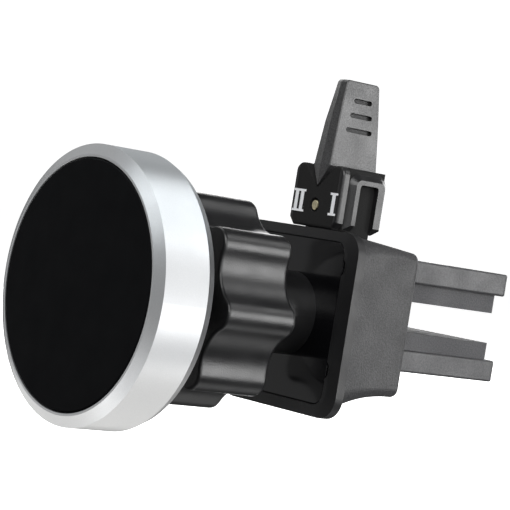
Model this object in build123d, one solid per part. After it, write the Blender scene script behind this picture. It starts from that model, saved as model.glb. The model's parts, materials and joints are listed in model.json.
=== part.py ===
from build123d import *
import math
import os

# Magnetic car phone mount with a screw-locked ball joint and a lever-worked vent clamp.
# Millimetres. Origin: centre of the phone-side pad face. +Y runs from the phone towards
# the air vent, +Z is up, +X is to the right of someone who faces the phone.

# ---- driving dimensions ----
RUN = 0.06                      # radial clearance of turning and sliding fits
GAP = 0.3                       # clearance between parts that move past each other

# phone head
PAD_R = 18.3
PAD_T = 1.2
RING_R = 20.45
RING_LIP_R = 18.8
RING_CHAMFER_Y = 0.9
RING_BAND_END = 8.4
RING_REAR_R = 19.85
HEAD_REAR = 9.7
COVER_R = 18.9
CARRIER_REAR = 4.6
PLATE_REAR = 5.7
MAGNET_COUNT = 6
MAGNET_R = 4.0
MAGNET_PITCH_R = 12.2
HEAD_SCREW_PITCH_R = 15.4

# ball joint and locking collar
BALL_Y = 21.5
BALL_R = 7.0
NECK_R = 3.4
FLANGE_R = 6.2
FLANGE_Y = (PLATE_REAR + 0.05, PLATE_REAR + 1.45)
LINER_T = 1.75
LINER_GAP = 0.05
SOCKET_BORE_R = BALL_R + LINER_T + 2 * LINER_GAP
SOCKET_R = 10.3
STEM_R = 6.5
STEM_BORE_R = 4.5
SOCKET_FLANGE_R = 10.7
SOCKET_FLANGE_T = 1.0
SOCKET_SCREW_PITCH_R = 9.6
COLLAR_FRONT = 15.9
COLLAR_REAR = 28.75
CREST_R = 15.95
VALLEY_R = 13.3
LOBE_R = 2.6
LOBES = 8
COLLAR_PHASE = 3.4              # degrees that the collar rests past its upright lobe

# clamp body
COVER_FRONT = 39.65
COVER_REAR = 41.4
LIP_REAR = 42.7
SHELL_REAR = 52.5
BODY_X = 14.0
SHELL_X = 13.95
SHELL_TOP = (13.1, 11.9)        # front, rear
SHELL_BOTTOM = (-13.2, -10.3)
SHELL_CORNER = (3.4, 1.4)
BODY_TOP = 13.5
BODY_BOTTOM = -14.75
BODY_CORNER = 3.5
BEVEL_X = 2.2
BEVEL_Y = 0.25
PANEL_X = 10.9
PANEL_Z = (-12.75, 11.85)
CAVITY_X = 11.8
CAVITY_TOP = 10.5
CAVITY_BOTTOM = -9.3
CAVITY_REAR = 50.6

# lever and its bracket
PIVOT_Z = 17.0
PIVOT_PIN_R = 0.85
LEVER_SWING = 7.0               # degrees each way from upright, where the nose meets the notch
BRACKET_X = 5.8
BRACKET_FRONT = 41.5
BRACKET_REAR = 51.0
BRACKET_BOTTOM = 13.6
BRACKET_TOP = 23.4
BRACKET_WALL = 1.5
ARCH_Y = (44.5, 50.3)
ARCH_TOP = 21.8
ARCH_CORNER = 1.0
RECESS_Y = (45.3, 49.0)
RECESS_TOP = 21.1
RECESS_DEPTH = 1.0
MARGIN_DEPTH = 1.3              # depth and width of the bevelled margin round the arch
ARM_ROOM_X = 3.2
NOTCH_Z = 19.6
NOTCH_HALF_ANGLE = 45.0
NOSE_Z = 20.1
LEVER_BASE_Z = 23.4
LEVER_BASE_X = 1.95
LEVER_TOP = 36.95
LEVER_MIDDLE_Z = 30.2
LEVER_MIDDLE_X = 1.66
LEVER_TOP_X = 1.15
ARM_LENGTH = 14.5
ARM_Y = (44.4, 46.2)
CAM_PIN_R = 1.0

# jaws
JAW_TRAVEL = 1.2                # each way, over the lever's swing
JAW_X = 11.0
JAW_TIP = 75.1
UPPER_JAW_Z = (7.4, 10.95)
LOWER_JAW_Z = (-6.4, -3.0)
PAD_X = 10.0
PAD_TIP = 73.8
UPPER_PAD_Z = 4.5
LOWER_PAD_Z = -0.3
TONGUE_X = 6.5
UPPER_TONGUE_Z = (8.0, 10.0)
LOWER_TONGUE_Z = (-6.2, -3.2)
JAW_SCREW_X = 4.5
SLIDE_Y = (46.5, 48.9)
SLIDE_X = 8.0
SLIDE_Z = (-7.4, 6.0)
ROD_X = 6.6
ROD_R = 0.6


# ---- helpers ----
def cuboid(x, y, z):
    """Box between the two values of each pair."""
    size = (x[1] - x[0], y[1] - y[0], z[1] - z[0])
    middle = ((x[0] + x[1]) / 2, (y[0] + y[1]) / 2, (z[0] + z[1]) / 2)
    return Pos(*middle) * Box(*size)


def along_y(sketch, y0, y1):
    """Extrude an X-Z sketch from y0 to y1."""
    plane = Plane(origin=(0, y1, 0), x_dir=(1, 0, 0), z_dir=(0, -1, 0))
    return extrude(plane * sketch, y1 - y0)


def along_x(sketch, x0, x1):
    """Extrude a Y-Z sketch from x0 to x1."""
    plane = Plane(origin=(x0, 0, 0), x_dir=(0, 1, 0), z_dir=(1, 0, 0))
    return extrude(plane * sketch, x1 - x0)


def rod_y(radius, y0, y1, x=0.0, z=0.0):
    return along_y(Pos(x, z) * Circle(radius), y0, y1)


def rod_z(radius, z0, z1, x=0.0, y=0.0):
    return Pos(x, y, z0) * extrude(Circle(radius), z1 - z0)


def turned(points):
    """Solid of revolution about Y from (radius, y) points."""
    return revolve(make_face(Polyline(*points, close=True)), Axis.Y)


def rounded_bar(x, z, corner, y0, y1):
    """Rounded rectangle in X-Z, extruded along Y."""
    face = RectangleRounded(x[1] - x[0], z[1] - z[0], corner)
    return along_y(Pos((x[0] + x[1]) / 2, (z[0] + z[1]) / 2) * face, y0, y1)


def around_y(radius, count, start=0.0):
    """(x, z) points evenly spaced on a circle about Y, from straight up."""
    angles = [math.radians(start + 360 * k / count) for k in range(count)]
    return [(radius * math.sin(a), radius * math.cos(a)) for a in angles]


def screw_y(head_y, tip_y, head_r, shank_r, head_t, x, z):
    """Pan-head screw along Y: the head sits on head_y and the shank ends at tip_y."""
    way = 1 if tip_y > head_y else -1
    head_span = sorted((head_y - way * head_t, head_y))
    shank_span = sorted((head_y, tip_y))
    head = rod_y(head_r, *head_span, x, z)
    outer = head.faces().sort_by(Axis.Y)[0 if way > 0 else -1]
    head = fillet(outer.edges(), head_t * 0.35)
    recess = head_y - way * head_t
    cross_span = sorted((recess, recess + way * head_t * 0.5))
    arm, half = head_r * 0.55, head_r * 0.13
    cross = cuboid((x - arm, x + arm), cross_span, (z - half, z + half))
    cross += cuboid((x - half, x + half), cross_span, (z - arm, z + arm))
    return head + rod_y(shank_r, *shank_span, x, z) - cross


# ---- phone head ----
def face_pad():
    pad = rod_y(PAD_R, 0, PAD_T)
    rim = pad.faces().sort_by(Axis.Y)[0].edges()
    return fillet(rim, 0.25)


def head_ring():
    seat = PAD_R + 0.05
    bore = COVER_R + 0.05
    step = PLATE_REAR + 2.6
    return turned([
        (seat, 0.2), (seat + 0.1, 0.05), (RING_LIP_R, 0.05), (RING_R, RING_CHAMFER_Y),
        (RING_R, RING_BAND_END), (RING_REAR_R, HEAD_REAR), (bore + 0.3, HEAD_REAR),
        (bore + 0.3, step), (bore, step), (bore, PAD_T), (seat, PAD_T),
    ])


def magnet_carrier():
    carrier = rod_y(COVER_R, PAD_T, CARRIER_REAR)
    for x, z in around_y(MAGNET_PITCH_R, MAGNET_COUNT):
        carrier -= rod_y(MAGNET_R + RUN, PAD_T + 0.5, CARRIER_REAR, x, z)
    for x, z in around_y(HEAD_SCREW_PITCH_R, 3, 30):
        carrier -= rod_y(0.8, PAD_T + 0.8, CARRIER_REAR, x, z)
    return carrier - rod_y(4.0, PAD_T + 1.0, CARRIER_REAR)


def magnets():
    places = around_y(MAGNET_PITCH_R, MAGNET_COUNT)
    return Compound([rod_y(MAGNET_R, PAD_T + 0.5, CARRIER_REAR, x, z) for x, z in places])


def magnet_plate():
    plate = rod_y(17.8, CARRIER_REAR, PLATE_REAR) - rod_y(2.0, CARRIER_REAR, PLATE_REAR)
    for x, z in around_y(HEAD_SCREW_PITCH_R, 3, 30):
        plate -= rod_y(1.0, CARRIER_REAR, PLATE_REAR, x, z)
    return plate


def head_back_cover():
    """Dished cover that closes the ring; a pocket in its hub holds the stud's flange."""
    step = PLATE_REAR + 2.6
    cover = turned([
        (0, PLATE_REAR), (COVER_R, PLATE_REAR), (COVER_R, step), (COVER_R + 0.25, step),
        (COVER_R + 0.25, HEAD_REAR - 0.5), (17.8, HEAD_REAR - 0.5), (16.6, HEAD_REAR - 1.2),
        (9.2, HEAD_REAR - 1.2), (8.0, HEAD_REAR), (0, HEAD_REAR),
    ])
    cover -= rod_y(FLANGE_R + RUN, PLATE_REAR, FLANGE_Y[1] + 0.05)
    cover -= rod_y(4.2 + RUN, PLATE_REAR, HEAD_REAR)
    for x, z in around_y(HEAD_SCREW_PITCH_R, 3, 30):
        cover -= rod_y(1.0, PLATE_REAR, HEAD_REAR, x, z)
        cover -= rod_y(1.7, PLATE_REAR + 1.8, HEAD_REAR, x, z)
    return cover


def head_screws():
    seat = PLATE_REAR + 1.8
    places = around_y(HEAD_SCREW_PITCH_R, 3, 30)
    return Compound([screw_y(seat, PAD_T + 0.8, 1.5, 0.8, 0.8, x, z) for x, z in places])


def ball_stud():
    """Ball on a neck that ends in a flange, which turns in the head's hub."""
    shaft = turned([
        (0, FLANGE_Y[0]), (FLANGE_R, FLANGE_Y[0]), (FLANGE_R, FLANGE_Y[1]), (4.2, FLANGE_Y[1]),
        (4.2, HEAD_REAR + 0.4), (NECK_R, HEAD_REAR + 1.6), (NECK_R, BALL_Y), (0, BALL_Y),
    ])
    return shaft + Pos(0, BALL_Y, 0) * Sphere(BALL_R)


# ---- ball joint ----
def liner(near, far, side):
    """Shell round the ball between two angles from the -Y pole (side -1) or the +Y pole (side 1)."""
    inner = BALL_R + LINER_GAP
    outer = inner + LINER_T

    def at(radius, angle):
        a = math.radians(angle)
        return (radius * math.sin(a), BALL_Y + side * radius * math.cos(a))

    middle = (near + far) / 2
    outline = Curve() + [
        ThreePointArc(at(inner, near), at(inner, middle), at(inner, far)),
        Line(at(inner, far), at(outer, far)),
        ThreePointArc(at(outer, far), at(outer, middle), at(outer, near)),
        Line(at(outer, near), at(inner, near)),
    ]
    return revolve(make_face(outline), Axis.Y)


def front_ball_liner():
    return liner(53, 84, -1)


def rear_ball_liner():
    return liner(31, 84, 1)


def ball_socket():
    """Split collet that wraps the ball's liners, on a hollow stem with a rear flange."""
    front = COLLAR_FRONT + 1.2
    flange_rear = LIP_REAR + SOCKET_FLANGE_T
    socket = turned([
        (0, front), (9.15, front), (SOCKET_R, front + 2.6), (SOCKET_R, COLLAR_REAR + 0.6),
        (STEM_R, COLLAR_REAR + 1.8), (STEM_R, LIP_REAR), (SOCKET_FLANGE_R, LIP_REAR),
        (SOCKET_FLANGE_R, flange_rear), (0, flange_rear),
    ])
    socket -= Pos(0, BALL_Y, 0) * Sphere(SOCKET_BORE_R)
    socket -= rod_y(STEM_BORE_R, BALL_Y, flange_rear)
    for k in range(3):
        slot = cuboid((-12, 12), (front, COLLAR_REAR - 3.5), (-0.4, 0.4))
        socket -= Rot(0, 30 + 60 * k, 0) * slot
    for x, z in around_y(SOCKET_SCREW_PITCH_R, 4, 45):
        socket -= rod_y(0.5, LIP_REAR, flange_rear, x, z)
    flange_y = (LIP_REAR, flange_rear)
    socket -= cuboid((-12, 12), flange_y, (CAVITY_TOP - 0.1, 12))
    return socket - cuboid((-12, 12), flange_y, (-12, CAVITY_BOTTOM + 0.1))


def lobed_face():
    """Outline of tangent arcs: small convex lobes between wide concave valleys."""
    lobe_at = CREST_R - LOBE_R
    offset = LOBE_R - VALLEY_R
    half = math.pi / LOBES
    valley_at = (lobe_at**2 - offset**2) / (2 * (offset + lobe_at * math.cos(half)))

    def polar(radius, angle):
        return Vector(radius * math.sin(angle), radius * math.cos(angle))

    edges = []
    for k in range(LOBES):
        at = 2 * half * k
        lobe = polar(lobe_at, at)
        left = polar(valley_at, at - half)
        right = polar(valley_at, at + half)
        next_lobe = polar(lobe_at, at + 2 * half)
        start = lobe + (left - lobe).normalized() * LOBE_R
        end = lobe + (right - lobe).normalized() * LOBE_R
        next_start = next_lobe + (right - next_lobe).normalized() * LOBE_R
        edges.append(ThreePointArc(start, polar(CREST_R, at), end))
        edges.append(ThreePointArc(end, polar(VALLEY_R, at + half), next_start))
    return make_face(Curve() + edges)


def locking_collar():
    collar = along_y(lobed_face(), COLLAR_FRONT, COLLAR_REAR)
    collar = fillet(collar.faces().sort_by(Axis.Y)[0].edges(), 0.5)
    collar = fillet(collar.faces().sort_by(Axis.Y)[-1].edges(), 1.0)
    bore = SOCKET_R + RUN
    collar -= turned([
        (0, COLLAR_FRONT), (8.9, COLLAR_FRONT), (8.5, COLLAR_FRONT + 0.5), (8.5, COLLAR_FRONT + 0.9),
        (9.3, COLLAR_FRONT + 0.9), (bore, COLLAR_FRONT + 3.5), (bore, COLLAR_REAR - 0.5),
        (bore + 0.5, COLLAR_REAR), (0, COLLAR_REAR),
    ])
    return Rot(0, COLLAR_PHASE, 0) * collar


# ---- clamp body ----
def body_screw_places():
    return [(x, z) for x in (-10.1, 10.1) for z in (-7.4, 8.2)]


def front_cover():
    """Front frame with a bevelled rim, a recess for the panel and a lip that enters the shell."""
    outline = RectangleRounded(2 * BODY_X, BODY_TOP - BODY_BOTTOM, BODY_CORNER)
    outline = Pos(0, (BODY_TOP + BODY_BOTTOM) / 2) * outline
    bevel_at = COVER_FRONT + BEVEL_Y
    plane = Plane(origin=(0, bevel_at, 0), x_dir=(1, 0, 0), z_dir=(0, -1, 0))
    cover = extrude(plane * outline, BEVEL_Y, taper=math.degrees(math.atan2(BEVEL_X, BEVEL_Y)))
    cover += along_y(outline, bevel_at, COVER_REAR)
    lip_x = CAVITY_X - 0.1
    cover += rounded_bar((-lip_x, lip_x), (CAVITY_BOTTOM + 0.1, CAVITY_TOP - 0.1), 1.5, COVER_REAR, LIP_REAR)
    low, high = PANEL_Z
    recess = (-PANEL_X - 0.15, PANEL_X + 0.15)
    cover -= rounded_bar(recess, (low - 0.15, high + 0.15), 2.0, COVER_FRONT, COVER_FRONT + 0.6)
    cover -= rod_y(STEM_R, COVER_FRONT, LIP_REAR)
    for x, z in around_y(SOCKET_SCREW_PITCH_R, 4, 45):
        cover -= rod_y(0.5, COVER_REAR - 0.2, LIP_REAR, x, z)
    for x, z in body_screw_places():
        cover -= rod_y(0.9, COVER_FRONT, LIP_REAR, x, z)
        cover -= rod_y(1.6, COVER_FRONT, COVER_FRONT + 1.6, x, z)
    return cover


def front_panel():
    panel = rounded_bar((-PANEL_X, PANEL_X), PANEL_Z, 1.85, COVER_FRONT + 0.15, COVER_FRONT + 0.6)
    rim = panel.faces().sort_by(Axis.Y)[0].edges()
    return fillet(rim, 0.12) - rod_y(STEM_R, COVER_FRONT, COVER_REAR)


def between(pair, share):
    """Value a given share of the way from the first of a pair to the second."""
    return pair[0] + (pair[1] - pair[0]) * share


def shell_block():
    """Outside of the rear shell: its top slopes to the rear and its underside is scooped."""
    sections = []
    for share in (0, 0.12, 0.3, 0.6, 1):
        flare = (1 - share)**2.6
        low = between((SHELL_BOTTOM[1], SHELL_BOTTOM[0]), flare)
        high = between(SHELL_TOP, share)
        corner = between((SHELL_CORNER[1], SHELL_CORNER[0]), flare)
        y = between((COVER_REAR, SHELL_REAR), share)
        plane = Plane(origin=(0, y, (low + high) / 2), x_dir=(1, 0, 0), z_dir=(0, -1, 0))
        sections.append(plane * RectangleRounded(2 * SHELL_X, high - low, corner))
    block = loft(sections)
    rear = block.faces().sort_by(Axis.Y)[-1].edges()
    return fillet(rear, 0.8)


def body_post(x, z):
    """Screw post joined to the nearest side wall and to the nearer of floor and roof."""
    side = math.copysign(1, x)
    up = math.copysign(1, z)
    end = CAVITY_TOP if z > 0 else CAVITY_BOTTOM
    span = (LIP_REAR, CAVITY_REAR)
    post = rod_y(1.7, *span, x, z)
    post += cuboid(sorted((x, side * CAVITY_X)), span, (z - 0.6, z + 0.6))
    return post + cuboid((x - 0.6, x + 0.6), span, sorted((z, end + up * 0.01)))


def body_shell():
    cavity = cuboid((-CAVITY_X, CAVITY_X), (COVER_REAR, CAVITY_REAR), (CAVITY_BOTTOM, CAVITY_TOP))
    for x, z in body_screw_places():
        cavity -= body_post(x, z)
    shell = shell_block() - cavity
    for x, z in body_screw_places():
        shell -= rod_y(0.9, LIP_REAR, LIP_REAR + 5.0, x, z)
    arm_slot_y = (ARM_Y[0] - GAP, ARM_Y[1] + GAP)
    shell -= cuboid((-3.0, 3.0), arm_slot_y, (CAVITY_TOP - 1, BODY_TOP + 1))
    window = (LOWER_TONGUE_Z[0] - JAW_TRAVEL - GAP, LOWER_TONGUE_Z[1] + JAW_TRAVEL + GAP)
    rear_wall = (CAVITY_REAR - 1, SHELL_REAR + 1)
    shell -= cuboid((-TONGUE_X - GAP, TONGUE_X + GAP), rear_wall, window)
    shell -= cuboid((-TONGUE_X, TONGUE_X), rear_wall, UPPER_TONGUE_Z)
    for x in (-ROD_X, ROD_X):
        shell -= rod_z(ROD_R, CAVITY_BOTTOM - 0.6, CAVITY_TOP + 0.8, x, sum(SLIDE_Y) / 2)
    for x in bracket_screw_places():
        shell -= rod_z(0.5, CAVITY_TOP - 1, BODY_TOP + 1, x, sum(ARM_Y) / 2)
    return shell


def body_screws():
    seat = COVER_FRONT + 1.6
    return Compound([screw_y(seat, LIP_REAR + 5.0, 1.5, 0.9, 0.9, x, z) for x, z in body_screw_places()])


def socket_screws():
    seat = LIP_REAR + SOCKET_FLANGE_T
    places = around_y(SOCKET_SCREW_PITCH_R, 4, 45)
    return Compound([screw_y(seat, COVER_REAR - 0.2, 0.95, 0.5, 0.4, x, z) for x, z in places])


# ---- lever bracket ----
def bracket_screw_places():
    return (-4.0, 4.0)


def v_wedge(apex_z, half_angle, height, y0, y1):
    """Wedge that opens upwards from a line along Y at x = 0."""
    half = height * math.tan(math.radians(half_angle))
    face = make_face(Polyline((0, apex_z), (half, apex_z + height), (-half, apex_z + height), close=True))
    return along_y(face, y0, y1)


def bracket_block():
    """Outside of the bracket: full-width front plate, slightly narrower box behind it."""
    half = BRACKET_X
    height = BRACKET_TOP - BRACKET_BOTTOM
    outline = Pos(0, BRACKET_BOTTOM + height / 2) * Rectangle(2 * half, height)
    outline = fillet(outline.vertices().group_by(Axis.Y)[-1], 1.4)
    outline = chamfer(outline.vertices().group_by(Axis.Y)[0], 1.1)
    block = along_y(outline, BRACKET_FRONT, BRACKET_REAR)
    side = make_face(Polyline(
        (BRACKET_FRONT, BRACKET_BOTTOM), (BRACKET_FRONT, BRACKET_TOP), (BRACKET_REAR, BRACKET_TOP),
        (BRACKET_REAR, 14.95), (49.7, BRACKET_BOTTOM), close=True))
    side = fillet(side.vertices().sort_by(lambda v: v.X + v.Y)[-1], 1.4)
    block &= along_x(side, -half, half)
    front = block.faces().sort_by(Axis.Y)[0].edges()
    block = fillet(front, 0.5)
    foot_x = BRACKET_X - RECESS_DEPTH
    return block + cuboid((-foot_x, foot_x), (44.4, 49.2), (10.6, BRACKET_BOTTOM + 1))


def arch_outline(depth, spread):
    """Level-topped outline in Y-Z that runs out below the bracket, set in by depth."""
    low = BRACKET_BOTTOM - 4
    high = ARCH_TOP + spread
    width = ARCH_Y[1] - ARCH_Y[0] + 2 * spread
    outline = Pos(sum(ARCH_Y) / 2, (low + high) / 2) * Rectangle(width, high - low)
    outline = fillet(outline.vertices().group_by(Axis.Y)[-1], ARCH_CORNER + spread)
    return Plane(origin=(BRACKET_X - depth, 0, 0), x_dir=(0, 1, 0), z_dir=(1, 0, 0)) * outline


def bracket_side_cut(side):
    """Bevelled margin and deep recess that leave a raised arch on one side of the bracket."""
    raised = loft([arch_outline(0, 0), arch_outline(MARGIN_DEPTH, MARGIN_DEPTH)], ruled=True)
    margin = cuboid(
        (BRACKET_X - MARGIN_DEPTH, BRACKET_X), (BRACKET_FRONT + 1.3, BRACKET_REAR + 1),
        (BRACKET_BOTTOM - 1, BRACKET_TOP + 1))
    recess = cuboid(
        (BRACKET_X - RECESS_DEPTH, BRACKET_X), RECESS_Y, (BRACKET_BOTTOM - 1, RECESS_TOP))
    recess = fillet(recess.edges().filter_by(Axis.X).group_by(Axis.Z)[-1], 0.5)
    cut = margin - raised + recess
    return cut if side > 0 else mirror(cut, Plane.YZ)


def lever_bracket():
    block = bracket_block()
    inner = BRACKET_X - BRACKET_WALL
    inside_y = (BRACKET_FRONT + BRACKET_WALL, BRACKET_REAR - BRACKET_WALL)
    block -= cuboid((-inner, inner), inside_y, (BRACKET_BOTTOM + 1.4, BRACKET_TOP))
    block -= cuboid((-ARM_ROOM_X, ARM_ROOM_X), inside_y, (10.0, BRACKET_TOP))
    for side in (-1, 1):
        block -= bracket_side_cut(side)
    notch = v_wedge(NOTCH_Z, NOTCH_HALF_ANGLE, 6.0, BRACKET_FRONT, BRACKET_REAR)
    block -= notch
    block -= rod_y(PIVOT_PIN_R, BRACKET_FRONT, BRACKET_REAR, 0, PIVOT_Z)
    block -= rod_y(PIVOT_PIN_R + 0.3, BRACKET_FRONT, BRACKET_FRONT + 0.4, 0, PIVOT_Z)
    for x in bracket_screw_places():
        block -= rod_z(0.5, 10.0, BRACKET_BOTTOM + 1.2, x, sum(ARM_Y) / 2)
    return block - shell_block()


def bracket_screws():
    y = sum(ARM_Y) / 2
    screws = []
    for x in bracket_screw_places():
        head = rod_z(1.0, CAVITY_TOP - 0.6, CAVITY_TOP, x, y)
        slot = cuboid((x - 1, x + 1), (y - 0.12, y + 0.12), (CAVITY_TOP - 0.6, CAVITY_TOP - 0.35))
        screws.append(head + rod_z(0.5, CAVITY_TOP, BRACKET_BOTTOM + 1.2, x, y) - slot)
    return Compound(screws)


def numeral(strokes, centre_x):
    """Upright strokes between two serifs, raised from the bracket's front."""
    y = (BRACKET_FRONT - 0.06, BRACKET_FRONT)
    low, high = 15.7, 19.2
    half = 0.55 * strokes + 0.3
    glyph = cuboid((centre_x - half, centre_x + half), y, (low, low + 0.35))
    glyph += cuboid((centre_x - half, centre_x + half), y, (high - 0.35, high))
    for k in range(strokes):
        x = centre_x + 1.3 * (k - (strokes - 1) / 2)
        glyph += cuboid((x - 0.36, x + 0.36), y, (low, high))
    return glyph


def position_marks():
    return Compound([numeral(2, -3.85), numeral(1, 4.4)])


# ---- lever ----
def blade_outline(z, half_x, front, rear):
    """Level outline at height z, with a blunt ridge along the middle of its narrow sides."""
    ridge = 0.25
    outline = Polyline(
        (0, front - ridge), (half_x, front), (half_x, rear), (0, rear + ridge),
        (-half_x, rear), (-half_x, front), close=True)
    return Plane(origin=(0, 0, z)) * make_face(outline)


def lever_blade():
    """Tapered finger blade with a wedge-shaped nose that sits over the bracket's notches."""
    base = blade_outline(LEVER_BASE_Z, LEVER_BASE_X, 41.7, 51.3)
    middle = blade_outline(LEVER_MIDDLE_Z, LEVER_MIDDLE_X, 42.3, 50.6)
    top = blade_outline(LEVER_TOP, LEVER_TOP_X, 43.3, 49.9)
    blade = loft([base, middle], ruled=True) + loft([middle, top], ruled=True)
    ends = [e for e in blade.edges().group_by(Axis.Z)[-1] if abs(e.tangent_at(0.5).X) > 0.5]
    blade = fillet(ends, 0.7)
    blade = fillet(blade.edges().filter_by(is_blade_corner), 0.22)
    height = LEVER_BASE_Z - NOSE_Z
    half_angle = math.degrees(math.atan2(LEVER_BASE_X, height))
    nose = extrude(blade_outline(NOSE_Z, LEVER_BASE_X, 41.7, 51.3), height)
    return blade + (nose & v_wedge(NOSE_Z, half_angle, height, 41.0, 52.0))


def is_blade_corner(edge):
    """True for the four upright corners of the blade and the rims of its top."""
    middle = edge.center()
    upright = abs(edge.tangent_at(0.5).Z) > 0.9 and abs(middle.X) > 1.0
    return upright or (middle.Z > LEVER_TOP - 0.1 and abs(edge.tangent_at(0.5).Y) > 0.9)


def clamp_lever():
    hub_y = (BRACKET_FRONT + BRACKET_WALL + GAP, BRACKET_REAR - BRACKET_WALL - GAP)
    tip = PIVOT_Z - ARM_LENGTH
    lever = lever_blade() + rod_y(2.2, *hub_y, 0, PIVOT_Z)
    lever += cuboid((-1.3, 1.3), hub_y, (PIVOT_Z, NOSE_Z + 2.2))
    lever += cuboid((-1.8, 1.8), ARM_Y, (tip, PIVOT_Z))
    lever += rod_y(1.8, *ARM_Y, 0, tip)
    lever -= rod_y(PIVOT_PIN_R + RUN, *hub_y, 0, PIVOT_Z)
    lever -= rod_y(CAM_PIN_R, *ARM_Y, 0, tip)
    for k in range(3):
        for side in (-1, 1):
            lever -= lever_groove(k, side)
    return lever


def lever_groove(k, side):
    """Finger groove k from the top, cut into one broad face of the blade."""
    z = 33.9 - 2.3 * k
    front, rear = 45.0 - 0.5 * k, 48.7 + 0.3 * k
    face_x = LEVER_MIDDLE_X - (z - LEVER_MIDDLE_Z) * 0.0755
    groove = Pos((front + rear) / 2, z) * SlotOverall(rear - front, 0.75)
    return along_x(groove, *sorted((side * (face_x - 0.55), side * (face_x + 1))))


def lever_pin():
    pin = rod_y(PIVOT_PIN_R, BRACKET_FRONT + 0.1, BRACKET_REAR, 0, PIVOT_Z)
    return fillet(pin.faces().sort_by(Axis.Y)[0].edges(), 0.25)


def cam_pin():
    return rod_y(CAM_PIN_R, ARM_Y[0], SLIDE_Y[1] - 0.1, 0, PIVOT_Z - ARM_LENGTH)


# ---- jaws ----
def cam_path():
    """Where the cam pin's centre lies in the slide, over a little more than the lever's swing."""
    points = []
    for step in range(-4, 5):
        share = 1.06 * step / 4
        angle = math.radians(LEVER_SWING * share)
        across = -ARM_LENGTH * math.sin(angle)
        along = PIVOT_Z - ARM_LENGTH * math.cos(angle) + JAW_TRAVEL * share
        points.append((across, along))
    return points


def jaw_slide():
    """Plate on two guide rods, with the slanted slot that the lever's cam pin works."""
    slide = cuboid((-SLIDE_X, SLIDE_X), SLIDE_Y, SLIDE_Z)
    slide = fillet(slide.edges().filter_by(Axis.Y), 0.8)
    slide -= along_y(trace(Spline(*cam_path()), 2 * (CAM_PIN_R + RUN)), *SLIDE_Y)
    for x, z in (cam_path()[0], cam_path()[-1]):
        slide -= rod_y(CAM_PIN_R + RUN, *SLIDE_Y, x, z)
    for x in (-ROD_X, ROD_X):
        slide -= rod_z(ROD_R + RUN, *SLIDE_Z, x, sum(SLIDE_Y) / 2)
    for x in (-JAW_SCREW_X, JAW_SCREW_X):
        z = sum(LOWER_TONGUE_Z) / 2
        slide -= rod_y(0.8, *SLIDE_Y, x, z)
        slide -= rod_y(1.4, SLIDE_Y[0], SLIDE_Y[0] + 1.0, x, z)
    return slide


def guide_rods():
    span = (CAVITY_BOTTOM - 0.6, CAVITY_TOP + 0.8)
    return Compound([rod_z(ROD_R, *span, x, sum(SLIDE_Y) / 2) for x in (-ROD_X, ROD_X)])


def jaw(root, z, tongue_y, tongue_z, screw_r):
    """Flat finger with rounded tips and a narrower tongue at its root."""
    plate = cuboid((-JAW_X, JAW_X), (root, JAW_TIP), z)
    plate = fillet(plate.edges().filter_by(Axis.Z).group_by(Axis.Y)[-1], 1.2)
    plate = fillet(plate.edges().filter_by(Axis.Y), 0.35)
    plate += cuboid((-TONGUE_X, TONGUE_X), (tongue_y, root + 1), tongue_z)
    for x in (-JAW_SCREW_X, JAW_SCREW_X):
        plate -= rod_y(screw_r, tongue_y, root + 3, x, sum(tongue_z) / 2)
    return plate


def upper_jaw():
    return jaw(SHELL_REAR, UPPER_JAW_Z, CAVITY_REAR, UPPER_TONGUE_Z, 0.6)


def lower_jaw():
    return jaw(SHELL_REAR + GAP, LOWER_JAW_Z, SLIDE_Y[1], LOWER_TONGUE_Z, 0.8)


def jaw_pad(root, z):
    pad = cuboid((-PAD_X, PAD_X), (root + 0.2, PAD_TIP), z)
    return fillet(pad.edges().filter_by(Axis.Z).group_by(Axis.Y)[-1], 1.0)


def upper_jaw_pad():
    return jaw_pad(SHELL_REAR, (UPPER_PAD_Z, UPPER_JAW_Z[0]))


def lower_jaw_pad():
    return jaw_pad(SHELL_REAR + GAP, (LOWER_JAW_Z[1], LOWER_PAD_Z))


def upper_jaw_keeper():
    keeper = cuboid((-7.6, 7.6), (CAVITY_REAR - 1.0, CAVITY_REAR), (7.7, 10.3))
    for x in (-JAW_SCREW_X, JAW_SCREW_X):
        keeper -= rod_y(0.6, CAVITY_REAR - 1.0, CAVITY_REAR, x, sum(UPPER_TONGUE_Z) / 2)
    return keeper


def upper_jaw_screws():
    seat = CAVITY_REAR - 1.0
    z = sum(UPPER_TONGUE_Z) / 2
    return Compound([screw_y(seat, SHELL_REAR + 3, 1.1, 0.6, 0.4, x, z) for x in (-JAW_SCREW_X, JAW_SCREW_X)])


def lower_jaw_screws():
    seat = SLIDE_Y[0] + 1.0
    tip = SHELL_REAR + GAP + 3
    z = sum(LOWER_TONGUE_Z) / 2
    return Compound([screw_y(seat, tip, 1.3, 0.8, 0.8, x, z) for x in (-JAW_SCREW_X, JAW_SCREW_X)])


MAKERS = [
    face_pad, head_ring, magnet_carrier, magnets, magnet_plate, head_back_cover, head_screws,
    ball_stud, front_ball_liner, rear_ball_liner, ball_socket, locking_collar,
    front_cover, front_panel, body_shell, body_screws, socket_screws,
    lever_bracket, bracket_screws, position_marks, clamp_lever, lever_pin, cam_pin,
    jaw_slide, guide_rods, upper_jaw, upper_jaw_pad, upper_jaw_keeper, upper_jaw_screws,
    lower_jaw, lower_jaw_pad, lower_jaw_screws,
]

os.makedirs("parts", exist_ok=True)
for make in MAKERS:
    export_step(make(), f"parts/{make.__name__}.step")
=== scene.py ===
import json
import math
import bpy
from mathutils import Matrix, Vector


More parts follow.
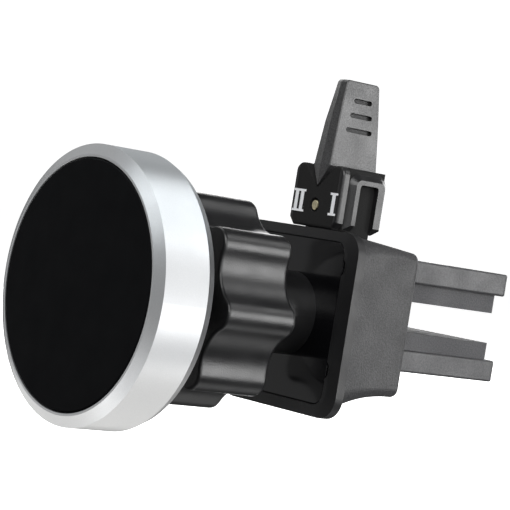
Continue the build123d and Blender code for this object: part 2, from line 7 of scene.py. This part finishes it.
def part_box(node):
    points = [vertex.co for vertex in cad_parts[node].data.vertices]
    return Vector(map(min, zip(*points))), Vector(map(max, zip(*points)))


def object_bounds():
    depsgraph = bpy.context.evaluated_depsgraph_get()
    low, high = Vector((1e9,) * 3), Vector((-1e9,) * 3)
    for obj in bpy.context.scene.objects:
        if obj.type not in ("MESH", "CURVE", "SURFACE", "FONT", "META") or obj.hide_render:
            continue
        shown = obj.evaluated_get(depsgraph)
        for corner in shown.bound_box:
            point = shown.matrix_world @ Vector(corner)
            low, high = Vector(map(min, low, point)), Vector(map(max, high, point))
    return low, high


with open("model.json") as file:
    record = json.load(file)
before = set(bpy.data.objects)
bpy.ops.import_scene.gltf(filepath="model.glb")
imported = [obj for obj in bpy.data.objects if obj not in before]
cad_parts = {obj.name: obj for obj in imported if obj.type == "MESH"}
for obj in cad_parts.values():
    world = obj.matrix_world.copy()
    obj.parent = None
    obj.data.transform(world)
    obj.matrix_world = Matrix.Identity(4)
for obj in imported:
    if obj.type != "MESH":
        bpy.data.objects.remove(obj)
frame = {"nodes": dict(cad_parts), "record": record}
size_at_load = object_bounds()

MM = 0.001

# Camera, in degrees and millimetres. At azimuth 0 it looks along +Y.
AZIMUTH, ELEVATION, ROLL = 51.59, 0.69, 9.10
CAMERA_TARGET = (8.23, 25.0, 8.08)
CAMERA_DISTANCE = 317.6
LENS, SENSOR_WIDTH = 152.75, 36.0
CLIP_START, CLIP_END = 0.01, 20       # metres

# Stage, in metres
FLOOR_DROP = 12 * MM                  # below the object at rest, so that a tilted head stays clear
FLOOR_HALF_WIDTH = 4.0
BACKDROP_RADIUS, BACKDROP_BOTTOM, BACKDROP_TOP = 4.5, -1.0, 4.0
BACKDROP_SIDES = 48
STAGE_GREY, STAGE_VARIATION, STAGE_CLOUDS = 0.9, 1.02, 3
FLOOR_GLOW, BACKDROP_GLOW = 0.93, 1.0
SKY_COLOUR, SKY_STRENGTH = (0.97, 0.98, 1.0, 1), 0.08
LIGHTS_AIM_AT = (0, 0.035, 0.008)     # about the middle of the object
LIGHTS_DISTANCE = 0.65

# Materials. Noise scales are per metre.
NOISE_SPAN = (0.3, 0.7)               # nearly all of the noise lies between these values
WEAR_SCALE, WEAR_DETAIL = 220, 6      # broad patches of duller and glossier surface
SMOOTHEST = 0.02
BUMP_DEPTH, BUMP_DETAIL = 0.08 * MM, 2
# Painted shade: near-black colour and dull roughness put where shade should fall
PAINTED_SHADE_COLOUR, PAINTED_SHADE_ROUGHNESS = (0.002, 0.002, 0.002, 1), (0.95, 0.95, 0.95, 1)
OCCLUSION_SPAN = (0.85, 0.45)         # share of open surroundings where painted shade begins and is full
OCCLUSION_SAMPLES = 8
GROOVE_REACH = 0.7 * MM               # how far painted groove shade looks for nearby surfaces, a little more than the depth of the lever's grooves
PAINTED_SHADE_FROM_SIDE = 0.9 * MM             # painted shade starts this far in from the bracket's sides, a little less than the depth of its side recesses
COARSE_GRAIN = {"fine": 4500, "bump_scale": 3500}


# ---------------------------------------------------------------- node helpers
def new_material(name):
    mat = bpy.data.materials.new(name)
    mat.use_nodes = True
    return mat


def tree_of(mat):
    """Nodes, links and shader of a material."""
    nodes = mat.node_tree.nodes
    return nodes, mat.node_tree.links, nodes["Principled BSDF"]


def grain(nodes, links, scale, detail=4.0):
    """Noise in the object's own metres."""
    coords = nodes.new("ShaderNodeTexCoord")
    noise = nodes.new("ShaderNodeTexNoise")
    noise.inputs["Scale"].default_value = scale
    noise.inputs["Detail"].default_value = detail
    links.new(coords.outputs["Object"], noise.inputs["Vector"])
    return noise.outputs["Fac"]


def ramp(nodes, links, source, low, high):
    """Maps noise to a colour between low and high."""
    node = nodes.new("ShaderNodeValToRGB")
    for stop, position, colour in zip(node.color_ramp.elements, NOISE_SPAN, (low, high)):
        stop.position = position
        stop.color = (*colour, 1)
    links.new(source, node.inputs["Fac"])
    return node.outputs["Color"]


def fine_bump(nodes, links, shader, strength, scale):
    node = nodes.new("ShaderNodeBump")
    node.inputs["Strength"].default_value = strength
    node.inputs["Distance"].default_value = BUMP_DEPTH
    links.new(grain(nodes, links, scale, BUMP_DETAIL), node.inputs["Height"])
    links.new(node.outputs["Normal"], shader.inputs["Normal"])


def surface(name, colour, spread=0.12, roughness=0.5, rough_spread=0.06, metallic=0.0, specular=0.5,
            fine=9000, bump=0.0, bump_scale=16000):
    """Moulded or machined surface: speckled colour, uneven gloss, and a fine grain in the normal."""
    mat = new_material(name)
    nodes, links, shader = tree_of(mat)
    darkest = [c * (1 - spread) for c in colour]
    lightest = [min(1, c * (1 + spread)) for c in colour]
    speckles = ramp(nodes, links, grain(nodes, links, fine), darkest, lightest)
    links.new(speckles, shader.inputs["Base Color"])
    glossiest, dullest = max(SMOOTHEST, roughness - rough_spread), roughness + rough_spread
    wear = ramp(nodes, links, grain(nodes, links, WEAR_SCALE, WEAR_DETAIL), [glossiest] * 3, [dullest] * 3)
    links.new(wear, shader.inputs["Roughness"])
    shader.inputs["Metallic"].default_value = metallic
    shader.inputs["Specular IOR Level"].default_value = specular
    if bump:
        fine_bump(nodes, links, shader, bump, bump_scale)
    return mat


def paint_shade(mat, shade_mask):
    """Paints shade: where the shade mask is 1 the colour goes nearly black and the gloss goes."""
    nodes, links, shader = tree_of(mat)
    for socket, value in (("Base Color", PAINTED_SHADE_COLOUR), ("Roughness", PAINTED_SHADE_ROUGHNESS)):
        mix = nodes.new("ShaderNodeMix")
        mix.data_type = "RGBA"
        links.new(shader.inputs[socket].links[0].from_socket, mix.inputs["A"])
        mix.inputs["B"].default_value = value
        links.new(shade_mask, mix.inputs["Factor"])
        links.new(mix.outputs["Result"], shader.inputs[socket])


def paint_groove_shade(mat, reach):
    """Paints shade into grooves and inner corners, darker and duller than the open surface."""
    nodes, links, _ = tree_of(mat)
    surroundings = nodes.new("ShaderNodeAmbientOcclusion")
    surroundings.inputs["Distance"].default_value = reach
    surroundings.samples = OCCLUSION_SAMPLES
    painted_shade_amount = nodes.new("ShaderNodeMapRange")
    painted_shade_amount.inputs["From Min"].default_value, painted_shade_amount.inputs["From Max"].default_value = OCCLUSION_SPAN
    links.new(surroundings.outputs["AO"], painted_shade_amount.inputs["Value"])
    paint_shade(mat, painted_shade_amount.outputs["Result"])


def paint_shade_near_middle(mat, x_limit):
    """Paints shade on what lies nearer to the middle plane than x_limit, and leaves the outer sides."""
    nodes, links, _ = tree_of(mat)
    coords = nodes.new("ShaderNodeTexCoord")
    split = nodes.new("ShaderNodeSeparateXYZ")
    links.new(coords.outputs["Object"], split.inputs["Vector"])
    from_middle = nodes.new("ShaderNodeMath")
    from_middle.operation = "ABSOLUTE"
    links.new(split.outputs["X"], from_middle.inputs[0])
    painted_shade_mask = nodes.new("ShaderNodeMath")
    painted_shade_mask.operation = "LESS_THAN"
    painted_shade_mask.inputs[1].default_value = x_limit
    links.new(from_middle.outputs[0], painted_shade_mask.inputs[0])
    paint_shade(mat, painted_shade_mask.outputs[0])


# ---------------------------------------------------------------- materials
SLOT_MATERIALS = {
    "pad": surface(
        "pad_rubber", (0.0026, 0.0028, 0.0034), roughness=0.5, specular=0.05),
    "ring": surface(
        "ring_aluminium", (0.62, 0.63, 0.64), spread=0.05, roughness=0.33, rough_spread=0.03,
        metallic=1.0, bump=0.12, bump_scale=9000),
    "steel": surface(
        "zinc_steel", (0.55, 0.55, 0.55), spread=0.08, roughness=0.35, metallic=1.0),
    "magnet": surface(
        "nickel_magnet", (0.6, 0.59, 0.57), spread=0.05, roughness=0.22, metallic=1.0),
    "black_satin": surface(
        "black_satin_plastic", (0.006, 0.006, 0.0065), roughness=0.34, specular=0.55,
        bump=0.35, bump_scale=5000),
    "black_gloss": surface(
        "black_gloss_plastic", (0.002, 0.002, 0.0025), roughness=0.10, rough_spread=0.03),
    "dark_grey": surface(
        "dark_grey_plastic", (0.028, 0.028, 0.029), spread=0.55, roughness=0.50, specular=0.36,
        bump=0.5, **COARSE_GRAIN),
    "nylon": surface(
        "natural_nylon", (0.6, 0.59, 0.54), roughness=0.45),
    "soft_grey": surface(
        "soft_grey_rubber", (0.040, 0.040, 0.043), spread=0.5, roughness=0.62, specular=0.45,
        bump=0.4, **COARSE_GRAIN),
    "brass": surface(
        "nickel_brass", (0.60, 0.54, 0.36), spread=0.2, roughness=0.3, metallic=1.0, fine=3000),
    "white_print": surface(
        "white_print", (0.80, 0.81, 0.83), spread=0.03, roughness=0.5),
}

# Nodes that look a little different from the others in their slot
NODE_MATERIALS = {
    "clamp_lever": surface(
        "lever_plastic_painted_groove_shade", (0.040, 0.040, 0.041), spread=0.55, roughness=0.38, bump=0.45, **COARSE_GRAIN),
    "upper_jaw": surface(
        "jaw_plastic", (0.032, 0.032, 0.034), spread=0.5, roughness=0.45, bump=0.4, **COARSE_GRAIN),
    "lever_bracket": surface(
        "bracket_plastic_painted_shade", (0.007, 0.007, 0.0075), spread=0.3, roughness=0.38,
        fine=4500, bump=0.3, bump_scale=4000),
    "front_cover": surface(
        "cover_plastic", (0.007, 0.007, 0.0075), roughness=0.46, specular=0.42,
        bump=0.25, bump_scale=5000),
}
NODE_MATERIALS["lower_jaw"] = NODE_MATERIALS["upper_jaw"]
# Painted shade in the lever's grooves and inner corners
paint_groove_shade(NODE_MATERIALS["clamp_lever"], GROOVE_REACH)
# Painted shade on the bracket everywhere nearer the middle than its side faces, so that its side recesses
# look dark
paint_shade_near_middle(NODE_MATERIALS["lever_bracket"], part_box("lever_bracket")[1].x - PAINTED_SHADE_FROM_SIDE)


def finish_cad_nodes():
    for part in frame["record"]["subparts"]:
        name, slot = part["node"], part["material_slot"]
        obj = frame["nodes"][name]
        obj.data.materials.clear()
        obj.data.materials.append(NODE_MATERIALS.get(name, SLOT_MATERIALS[slot]))


# ---------------------------------------------------------------- stage
def stage_mesh(name, verts, faces, glow):
    """Pale sheet that only the camera sees, so that it neither lights nor shades the object."""
    mesh = bpy.data.meshes.new(name)
    mesh.from_pydata(verts, [], faces)
    obj = bpy.data.objects.new(name, mesh)
    bpy.context.scene.collection.objects.link(obj)
    mat = new_material(name + "_paint")
    nodes, links, shader = tree_of(mat)
    clouds = grain(nodes, links, STAGE_CLOUDS)
    paint = ramp(nodes, links, clouds, [STAGE_GREY] * 3, [STAGE_GREY * STAGE_VARIATION] * 3)
    links.new(paint, shader.inputs["Base Color"])
    shader.inputs["Roughness"].default_value = 0.9
    shader.inputs["Specular IOR Level"].default_value = 0.0
    shader.inputs["Emission Color"].default_value = (1, 1, 1, 1)
    shader.inputs["Emission Strength"].default_value = glow
    mesh.materials.append(mat)
    obj.visible_diffuse = obj.visible_glossy = obj.visible_shadow = False


def floor():
    half, z = FLOOR_HALF_WIDTH, size_at_load[0].z - FLOOR_DROP
    corners = [(-half, -half, z), (half, -half, z), (half, half, z), (-half, half, z)]
    stage_mesh("floor", corners, [(0, 1, 2, 3)], FLOOR_GLOW)


def backdrop():
    """Drum round the object, closed on top by a fan of triangles."""
    count = BACKDROP_SIDES
    angles = [2 * math.pi * k / count for k in range(count)]
    circle = [(BACKDROP_RADIUS * math.cos(a), BACKDROP_RADIUS * math.sin(a)) for a in angles]
    verts = [(x, y, z) for z in (BACKDROP_BOTTOM, BACKDROP_TOP) for x, y in circle]
    verts.append((0, 0, BACKDROP_TOP))
    neighbours = [(k, (k + 1) % count) for k in range(count)]
    walls = [(a, b, count + b, count + a) for a, b in neighbours]
    roof = [(count + a, count + b, 2 * count) for a, b in neighbours]
    stage_mesh("backdrop", verts, walls + roof, BACKDROP_GLOW)


def sky():
    scene = bpy.context.scene
    scene.world = bpy.data.worlds.new("studio")
    scene.world.use_nodes = True
    background = scene.world.node_tree.nodes["Background"]
    background.inputs["Color"].default_value = SKY_COLOUR
    background.inputs["Strength"].default_value = SKY_STRENGTH


# ---------------------------------------------------------------- lights
def light_group(name, nodes, state):
    """Collection that keeps a light to those nodes (INCLUDE) or away from them (EXCLUDE)."""
    group = bpy.data.collections.new(name)
    for node in nodes:
        group.objects.link(frame["nodes"][node])
    for entry in group.collection_objects:
        entry.light_linking.link_state = state
    return group


def softbox(group, name, direction, size, radiance, tint=(1, 1, 1)):
    """Rectangular light in that direction from the object's middle, linked to the group."""
    towards = Vector(direction).normalized()
    data = bpy.data.lights.new(name, "AREA")
    data.shape = "RECTANGLE"
    data.size, data.size_y = size
    data.energy = math.pi * size[0] * size[1] * radiance
    data.color = tint
    obj = bpy.data.objects.new(name, data)
    bpy.context.scene.collection.objects.link(obj)
    obj.location = Vector(LIGHTS_AIM_AT) + towards * LIGHTS_DISTANCE
    obj.rotation_mode = "QUATERNION"
    obj.rotation_quaternion = (-towards).to_track_quat("-Z", "Y")
    obj.visible_camera = False
    obj.light_linking.receiver_collection = group


# Every row: name, direction, width and height in metres, radiance, and a tint if it isn't white
BRIGHT_NODES = ["head_ring", "lever_pin"]
COOL, WARM = (0.94, 0.98, 1.0), (1.0, 0.985, 0.96)
PLASTIC_LIGHTS = [
    ("plastics_key", (0.77, 0.62, 0.10), (0.34, 0.32), 8.2),
    ("plastics_top", (0.40, 0.62, 0.68), (0.25, 0.25), 2.8),
    ("plastics_fill", (0.60, -0.70, 0.55), (0.42, 0.42), 6.5),
    ("plastics_left", (-0.75, -0.65, 0.0), (0.80, 0.60), 0.3),
    ("plastics_under", (0.20, 0.30, -0.93), (0.60, 0.60), 1.0),
    ("plastics_side", (1.0, -0.05, 0.10), (0.50, 0.50), 3.0),
    ("plastics_far_side", (-0.93, 0.35, 0.10), (0.60, 0.60), 4.0),
    ("plastics_rear", (-0.30, 0.93, 0.10), (0.50, 0.50), 3.0),
    ("plastics_overhead", (-0.45, -0.15, 0.88), (0.40, 0.40), 2.5),
]
METAL_LIGHTS = [
    ("ring_key", (0.77, 0.62, 0.15), (0.60, 0.80), 1.32),
    ("ring_key_low", (0.70, 0.60, -0.45), (0.60, 0.55), 0.85),
    ("ring_top", (0.18, 0.60, 0.80), (0.60, 0.50), 1.7, COOL),
    ("ring_left", (-0.70, 0.50, 0.45), (0.45, 0.45), 0.5, COOL),
    ("ring_under", (-0.20, 0.40, -0.90), (1.2, 0.9), 0.95, WARM),
    ("ring_front", (-0.86, -0.30, 0.20), (0.6, 0.9), 0.45),
    ("ring_front_middle", (-0.06, -0.99, 0.0), (0.4, 0.4), 0.35),
    ("ring_front_top", (-0.25, -0.83, 0.52), (0.35, 0.30), 1.8, COOL),
    ("ring_front_right", (-0.25, -0.83, -0.55), (0.40, 0.35), 1.1),
    ("ring_front_low", (-0.75, -0.35, -0.60), (0.8, 0.5), 0.9, WARM),
]


def lights():
    """Dark plastics need far more light than the bright metal, so each has its own softboxes."""
    plastics = light_group("plastics_only", BRIGHT_NODES, "EXCLUDE")
    metal = light_group("bright_parts_only", BRIGHT_NODES, "INCLUDE")
    for group, rows in ((plastics, PLASTIC_LIGHTS), (metal, METAL_LIGHTS)):
        for row in rows:
            softbox(group, *row)


# ---------------------------------------------------------------- camera
def camera():
    azimuth, elevation, roll = (math.radians(a) for a in (AZIMUTH, ELEVATION, ROLL))
    back = Vector((math.sin(azimuth) * math.cos(elevation), -math.cos(azimuth) * math.cos(elevation),
                   math.sin(elevation)))
    level = (-back).cross(Vector((0, 0, 1))).normalized()
    upright = level.cross(-back)
    right = math.cos(roll) * level + math.sin(roll) * upright
    up = -math.sin(roll) * level + math.cos(roll) * upright
    data = bpy.data.cameras.new("camera")
    data.lens, data.sensor_width = LENS, SENSOR_WIDTH
    data.clip_start, data.clip_end = CLIP_START, CLIP_END
    obj = bpy.data.objects.new("camera", data)
    bpy.context.scene.collection.objects.link(obj)
    place = Vector(CAMERA_TARGET) * MM + back * CAMERA_DISTANCE * MM
    obj.matrix_world = Matrix.Translation(place) @ Matrix((right, up, back)).transposed().to_4x4()
    bpy.context.scene.camera = obj


finish_cad_nodes()
floor()
backdrop()
sky()
lights()
camera()
bpy.context.scene.view_settings.view_transform = "Standard"
